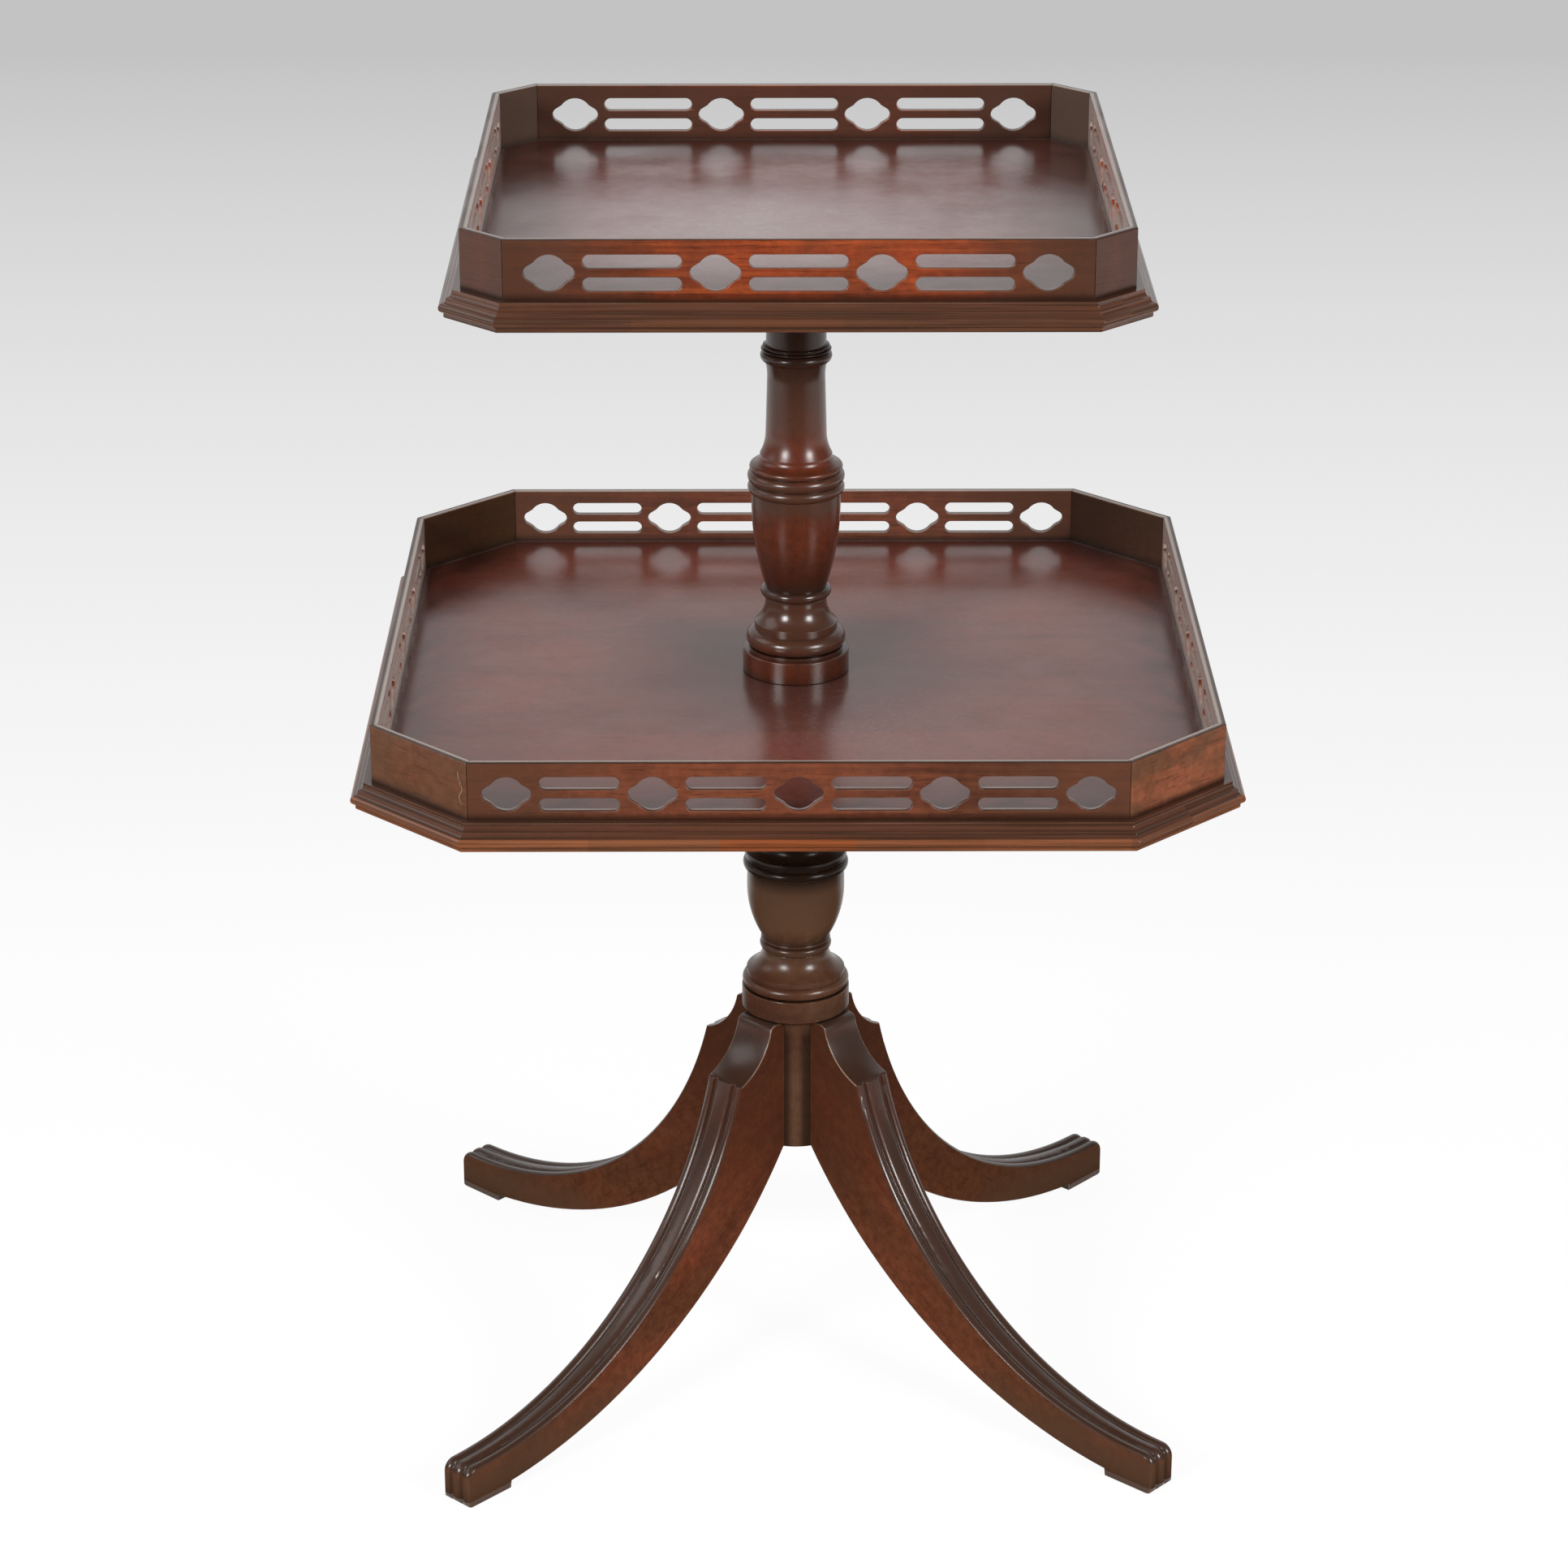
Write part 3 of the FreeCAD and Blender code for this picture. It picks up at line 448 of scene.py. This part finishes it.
# Stem: turned across an upright grain, red and brown by turns up its height, with dirt and painted shade in
# the hollows, painted shade under the trays and beside the legs, glossy on the beads
stem = dict(
    mahogany, tilt=90.0, dark="562313", mid="6e2e18", light="7a3a20", aged="4b372b", figure=(180.0, 60.0),
    stripe=(140.0, 9.0), stripeAmount=0.35, poresAmount=0.25, poreDepth=0.02, zone=(48.0, 130.0), zoneAmount=0.25,
    mottleAmount=0.35, roughness=(0.22, 0.28), recessReach=10.0, recessAmount=0.95, specular=0.6, edgeAmount=0.0,
    edgeRound=0.25, rippleDepth=0.02, shadeColour="17110d", waver=40.0,
    bands=((454, 0.05), (466, 0.3), (472, 0.65), (500, 0.75), (512, 0.2), (545, 0.0), (553, 0.4), (560, 0.8),
           (578, 0.7), (588, 0.1), (602, 0.2), (614, 0.6), (650, 0.75)),                      # height, browning
    shade=((452, 0.35), (464, 0.25), (470, 0.1), (496, 0.1), (507, 0.6), (514, 0.55), (528, 0.25), (540, 0.0),
           (626, 0.0), (637, 0.15), (645, 0.45), (718, 0.8)),                                 # height, painted shade
    hubShade="26170f", seamSpan=(1.0, 6.0), seamTop=(226.0, 218.0), seamAmount=0.0)   # only the lower stem has the painted shade beside the legs
lowerStem = dict(
    stem, dark="4a2a1e", mid="56311f", light="603828", aged="6e4e38", zoneAmount=0.5, roughness=(0.23, 0.30),
    specular=0.5, seamAmount=0.75,
    bands=((142, 0.35), (190, 0.3), (212, 0.05), (222, 0.3), (236, 0.1), (262, 0.15), (276, 0.3), (284, 0.8),
           (314, 0.9)),
    shade=((142, 0.0), (220, 0.0), (234, 0.25), (239, 0.0), (262, 0.1), (269, 0.2), (273, 0.5), (279, 0.2),
           (286, 0.0), (313, 0.05), (318, 0.5), (323, 0.85), (436, 0.9)))


def heightRamp(tree, level, stops):  # a value that changes with height
    return ramp(tree, level, [(height / 1000, (amount, amount, amount, 1.0)) for height, amount in stops])


def makeStemWood(name, look):
    material, tree = emptyMaterial(name)
    base = woodBase(tree, look)
    split = splitPlace(tree, base["place"])
    waver = maths(tree, "SUBTRACT", base["cloud"], 0.5)
    waver = maths(tree, "MULTIPLY_ADD", waver, look["waver"] / 1000, split["Z"])
    colour = mix(tree, heightRamp(tree, waver, look["bands"]), base["colour"], look["aged"])
    # painted shade: darker by height under the trays and in the hollows
    colour = mix(tree, heightRamp(tree, split["Z"], look["shade"]), colour, look["shadeColour"])
    # painted shade: the hub's four narrow faces are darker beside the legs
    aside = maths(tree, "MINIMUM", maths(tree, "ABSOLUTE", split["X"]), maths(tree, "ABSOLUTE", split["Y"]))
    aside = fade(tree, aside, metres(*look["seamSpan"]), high=look["seamAmount"], soft=True)
    below = fade(tree, split["Z"], metres(*look["seamTop"]))
    base["colour"] = mix(tree, maths(tree, "MULTIPLY", aside, below), colour, look["hubShade"])
    return woodFinish(material, tree, base, look)


dress(frame["nodes"]["upper_column"], makeStemWood("polished mahogany upper stem", stem))
dress(frame["nodes"]["lower_column"], makeStemWood("polished mahogany lower stem", lowerStem))
print("stem dressed")

# Legs: plain dark wood by the hub, warmer down the sides, brown at the toes, with reeded backs gone dark
# and pale arrises that are part rubbed wear and part painted glint; the rear legs are a darker copy, painted shade
leg = dict(
    mahogany, tilt=-35.0, dark="6e3a26", mid="88482e", light="8c5036", aged="5f3f29", figure=(200.0, 50.0),
    stripe=(160.0, 8.0), stripeAmount=0.35, poresAmount=0.3, poreDepth=0.02, zone=(120.0, 60.0), zoneAmount=0.5,
    mottleAmount=0.4, roughness=(0.20, 0.30), specular=0.28, backSpecular=0.65, edgeReach=1.9, recessReach=18.0,
    recessAmount=0.75, rippleDepth=0.02, back="3c2b22", backFade=(0.15, 0.45), backAmount=0.85,
    deep="47281b", deepSpan=(90.0, 170.0), deepAmount=0.7, toe="5d4331", toeSpan=(50.0, 10.0), toeAmount=0.8,
    ease=0.5, easedWearAndGlint=0.6, cuffEnd=64.9, jointSpan=(29.0, 34.0),   # out from the stem's axis
    flank=0.95, flankPaint=0.9,   # sideways part of a side face's normal, for the edges and for the materials
    slope=0.1)                    # part of a normal that points down or out
# painted shade: the rear legs are a darker copy of the same wood
shadedRearLeg = dict(leg, dark="5c3220", mid="6f3c25", light="76452e")
legTurns = {"leg_front_left": 227, "leg_front_right": 317, "leg_back_left": 137, "leg_back_right": 47}
reeds = {  # the edge reeds in the CAD mesh, in millimetres
    "from": 67.0, "to": 289.0,        # along the leg
    "inner": 3.0, "arris": 9.5,       # their points and their arrises lie further out from the leg's middle
    "width": 6.03,
    "rowGap": 3.0, "rowPoints": 10,   # least distance between rows, and least number of points in one
    "level": 0.1,                     # points this near to the same place in two rows are joined
    "under": -0.5, "flank": 0.97,     # facings of the leg's underside and sides
}


def makeLegWood(name, look):
    material, tree = emptyMaterial(name)
    base = woodBase(tree, look)
    level = splitPlace(tree, base["place"])["Z"]
    deep = fade(tree, level, metres(*look["deepSpan"]), high=look["deepAmount"], soft=True)
    colour = mix(tree, deep, base["colour"], look["deep"])
    low = fade(tree, level, metres(*look["toeSpan"]), high=look["toeAmount"], soft=True)
    colour = mix(tree, low, colour, look["toe"])
    upward = fade(tree, facingUp(tree), look["backFade"], high=look["backAmount"])
    base["colour"] = mix(tree, upward, colour, look["back"])
    base["exposed"] = fade(tree, outFromStem(tree, base["place"]), metres(*look["jointSpan"]))
    return woodFinish(material, tree, base, look)


def legPlace(turn):  # turns a vector into one along the leg, across it and up
    c, s = math.cos(math.radians(turn)), math.sin(math.radians(turn))
    return lambda v: (v.x * c + v.y * s, v.y * c - v.x * s, v.z)


def reedRows(shape, place, side):  # rows of points across one edge reed, each from the quirk out to the arris
    first, last, inner, least = metres(reeds["from"], reeds["to"], reeds["inner"], reeds["arris"])
    width, gap = metres(reeds["width"], reeds["rowGap"])
    found = []
    for vert in shape.verts:
        along, across, rise = place(vert.co)
        if across * side > inner and first < along < last:
            facing = [place(face.normal) for face in vert.link_faces]
            if any(n[0] + n[2] > reeds["under"] and abs(n[1]) < reeds["flank"] for n in facing):
                found.append((along - rise, across * side, vert))
    found.sort(key=lambda item: item[0])
    rows = [[]]
    for item in found:
        if rows[-1] and item[0] - rows[-1][-1][0] > gap:
            rows.append([])
        rows[-1].append(item)
    lines = []
    for row in rows:
        arris = max(item[1] for item in row)
        if arris > least and len(row) >= reeds["rowPoints"]:   # the middle band's rows lie further in
            outwards = sorted(row, key=lambda item: item[1])
            lines.append([item[1:] for item in outwards if item[1] > arris - width])
    return lines


def joinRows(shape, place, near, far):  # faces between two rows, matched by their distance from the arris
    a, b = [item[1] for item in near], [item[1] for item in far]
    offA, offB = [[item[0] - row[-1][0] for item in row] + [1.0] for row in (near, far)]
    cell = set(a + b)
    old = dict.fromkeys(f for v in a for f in v.link_faces if all(w in cell for w in f.verts))   # each once, in order
    for face in old:
        shape.faces.remove(face)
    level = reeds["level"] / 1000
    i = j = 0
    while i < len(a) - 1 or j < len(b) - 1:
        lead = offB[j + 1] - offA[i + 1]
        nextI, nextJ = i + (lead > -level), j + (lead < level)
        face = shape.faces.new([a[i]] + a[i + 1:nextI + 1] + b[j + 1:nextJ + 1] + [b[j]])
        face.normal_update()
        along, across, rise = place(face.normal)
        if along + rise < 0:
            face.normal_flip()
        i, j = nextI, nextJ


def evenReeds(shape, place):  # the CAD mesh is toothed along the edge reeds, so they are meshed again row by row
    for side in (1, -1):
        lines = reedRows(shape, place, side)
        for near, far in zip(lines, lines[1:]):
            joinRows(shape, place, near, far)
    for edge in [e for e in shape.edges if not e.link_faces]:
        shape.edges.remove(edge)
    bmesh.ops.holes_fill(shape, edges=[e for e in shape.edges if e.is_boundary], sides=0)
    bmesh.ops.recalc_face_normals(shape, faces=shape.faces)


def plainArris(edge, place):  # edges of the side faces, except along the reeds
    flanks = [abs(place(face.normal)[1]) > leg["flank"] for face in edge.link_faces]
    if flanks[0] == flanks[1]:
        return False
    along, across, rise = place(edge.link_faces[flanks.index(False)].normal)
    onCuff = max(place(v.co)[0] for v in edge.verts) < leg["cuffEnd"] / 1000 and along > leg["slope"]
    return rise < -leg["slope"] or onCuff


for node, turn in legTurns.items():
    place = legPlace(turn)
    look = dict(shadedRearLeg if "back" in node else leg, turn=turn)
    wood = "polished mahogany " + node.replace("_", " ")
    piece = easedCopy(node, leg["ease"], lambda edge: plainArris(edge, place), lambda shape: evenReeds(shape, place))
    dress(piece, makeLegWood(wood + " side", look))
    glossier = dict(look, specular=leg["backSpecular"])
    piece.data.materials.append(makeLegWood(wood + " reeds", glossier))
    for face in piece.data.polygons:
        along, across, rise = place(face.normal)
        face.material_index = 0 if abs(across) > leg["flankPaint"] or rise < -leg["slope"] else 1
print("legs dressed")

# Hidden ironwork and bushes
steel = {"base": "6d6c6a", "dull": "4a4744", "roughness": (0.32, 0.55), "grain": (30.0, 0.4)}
brass = {"base": "b08a4a", "dull": "7a5f35", "roughness": (0.25, 0.45), "grain": (20.0, 0.5)}
metal = {"stain": 11.111, "stainFade": (0.40, 0.65), "grainFade": (0.3, 0.7), "grainDepth": 0.03}   # for both


def makeMetal(name, look):
    material, tree = emptyMaterial(name)
    place = objectPlace(tree)
    brushed = noise(tree, stretched(tree, place, look["grain"]), Detail=2.0)
    stained = fade(tree, noise(tree, place, metal["stain"], Detail=4.0), metal["stainFade"])
    colour = mix(tree, stained, look["base"], look["dull"])
    roughness = fade(tree, brushed, metal["grainFade"], *look["roughness"])
    relief = addNode(tree, "ShaderNodeBump", {"Height": brushed, "Distance": metal["grainDepth"] / 1000})
    shader = addNode(tree, "ShaderNodeBsdfPrincipled", {
        "Base Color": colour, "Roughness": roughness, "Metallic": 1.0, "Normal": relief})
    addNode(tree, "ShaderNodeOutputMaterial", {"Surface": shader})
    return material


plainSteel = makeMetal("mild steel, dull ground", steel)   # grey with brown stains and fine brushed lines
plainBrass = makeMetal("turned brass, tarnished", brass)   # yellow-brown, browner in patches
for node, slot in slotOf.items():
    if slot in ("steel", "brass"):
        dress(frame["nodes"][node], plainSteel if slot == "steel" else plainBrass)
print("metal dressed")

studio = {  # lengths in metres
    "floorSize": 30.0,
    "floorSpan": (0.55, 3.7),   # behind the stem, where the white floor turns grey
    "nearColour": "ffffff", "farColour": "c7c7c7",
    "glow": 0.88,               # share of the floor's white that the object's shadow leaves
    "glowStrength": 1.06,
    "bounce": 0.8,              # floor's own reflectance
    "softboxes": [("softboxLeft", -39, 21, 2.6, 0.7, 38), ("softboxRight", 47, 21, 2.6, 0.7, 38),
                  ("softboxSide", -95, 33, 2.6, 1.5, 9)],  # name, azimuth, height angle, distance, size, watts
    "aim": 0.5,                 # height that the lights face
    "worldSpan": (0.4, 0.85), "worldFront": 0.17, "worldBack": 1.0,
    "flagColour": "101010",
    "flagBack": 0.6, "flagFront": 0.3,   # behind the stem, where the low card starts and is full
    "flagFar": 3.2, "flagHeight": 2.4, "flagHalfWidth": 2.0, "flagLift": 0.004,
}


def buildFloor():
    bpy.ops.mesh.primitive_plane_add(size=studio["floorSize"])
    floor = bpy.context.object
    floor.name = "studioFloor"
    material, tree = emptyMaterial("matt white floor paint")
    back = splitPlace(tree, objectPlace(tree))["Y"]
    colour = mix(tree, fade(tree, back, studio["floorSpan"]), studio["nearColour"], studio["farColour"])
    lit = addNode(tree, "ShaderNodeBsdfDiffuse", {"Color": mix(tree, studio["bounce"], "000000", colour)})
    shown = addNode(tree, "ShaderNodeEmission", {"Color": colour, "Strength": studio["glowStrength"]})
    path = tree.nodes.new("ShaderNodeLightPath").outputs
    seen = maths(tree, "MAXIMUM", path["Is Camera Ray"], path["Is Glossy Ray"])
    seen = maths(tree, "MAXIMUM", seen, path["Is Transmission Ray"])
    share = maths(tree, "MULTIPLY", seen, studio["glow"])
    both = addNode(tree, "ShaderNodeMixShader", {0: share, 1: lit, 2: shown})
    addNode(tree, "ShaderNodeOutputMaterial", {"Surface": both})
    floor.data.materials.append(material)


def buildFlags():  # dark cards that only reflections see, as a dim room in front would be
    material, tree = emptyMaterial("black felt")
    felt = addNode(tree, "ShaderNodeBsdfDiffuse", {"Color": hexColour(studio["flagColour"])})
    clear = addNode(tree, "ShaderNodeBsdfTransparent", {})
    back = splitPlace(tree, objectPlace(tree))["Y"]
    share = fade(tree, back, (studio["flagBack"], studio["flagFront"]))
    both = addNode(tree, "ShaderNodeMixShader", {0: share, 1: clear, 2: felt})
    addNode(tree, "ShaderNodeOutputMaterial", {"Surface": both})
    wide, high, lift = studio["flagHalfWidth"], studio["flagHeight"], studio["flagLift"]
    near, far = studio["flagBack"], -studio["flagFar"]
    cards = {"flagLow": [(-wide, near, lift), (wide, near, lift), (wide, far, lift), (-wide, far, lift)],
             "flagHigh": [(-wide, far, 0), (wide, far, 0), (wide, far, high), (-wide, far, high)]}
    for name, corners in cards.items():
        mesh = bpy.data.meshes.new(name)
        mesh.from_pydata(corners, [], [(0, 1, 2, 3)])
        card = bpy.data.objects.new(name, mesh)
        card.data.materials.append(material)
        card.visible_camera = False
        card.visible_diffuse = False
        card.visible_shadow = False
        bpy.context.scene.collection.objects.link(card)


def buildLights():
    for name, azimuth, height, distance, size, watts in studio["softboxes"]:
        a, e = math.radians(azimuth), math.radians(height)
        lamp = bpy.data.lights.new(name, "AREA")
        lamp.energy = watts
        lamp.size = size
        holder = bpy.data.objects.new(name, lamp)
        out = distance * math.cos(e)
        holder.location = (out * math.sin(a), -out * math.cos(a), studio["aim"] + distance * math.sin(e))
        holder.rotation_euler = (math.radians(90) - e, 0, a)
        bpy.context.scene.collection.objects.link(holder)
    world = bpy.data.worlds.new("studioRoom")   # bright behind the table, dim in front
    world.use_nodes = True
    tree = world.node_tree
    tree.nodes.clear()
    back = splitPlace(tree, addNode(tree, "ShaderNodeTexCoord", {}, "Generated"))["Y"]
    level = fade(tree, back, studio["worldSpan"], studio["worldFront"], studio["worldBack"])
    light = addNode(tree, "ShaderNodeBackground", {"Strength": level})
    addNode(tree, "ShaderNodeOutputWorld", {"Surface": light})
    bpy.context.scene.world = world


view = {"place": (-0.01847, -2.50433, 1.38962), "pitch": 22.046, "yaw": 0.258, "lens": 101.22, "sensor": 36.0}


def buildCamera():
    camera = bpy.data.cameras.new("photoCamera")
    camera.lens = view["lens"]
    camera.sensor_width = view["sensor"]
    holder = bpy.data.objects.new("photoCamera", camera)
    holder.location = view["place"]
    holder.rotation_euler = (math.radians(90 - view["pitch"]), 0, -math.radians(view["yaw"]))
    bpy.context.scene.collection.objects.link(holder)
    bpy.context.scene.camera = holder


buildFloor()
buildFlags()
buildLights()
buildCamera()
bpy.context.scene.view_settings.view_transform = "Standard"
print("studio ready")
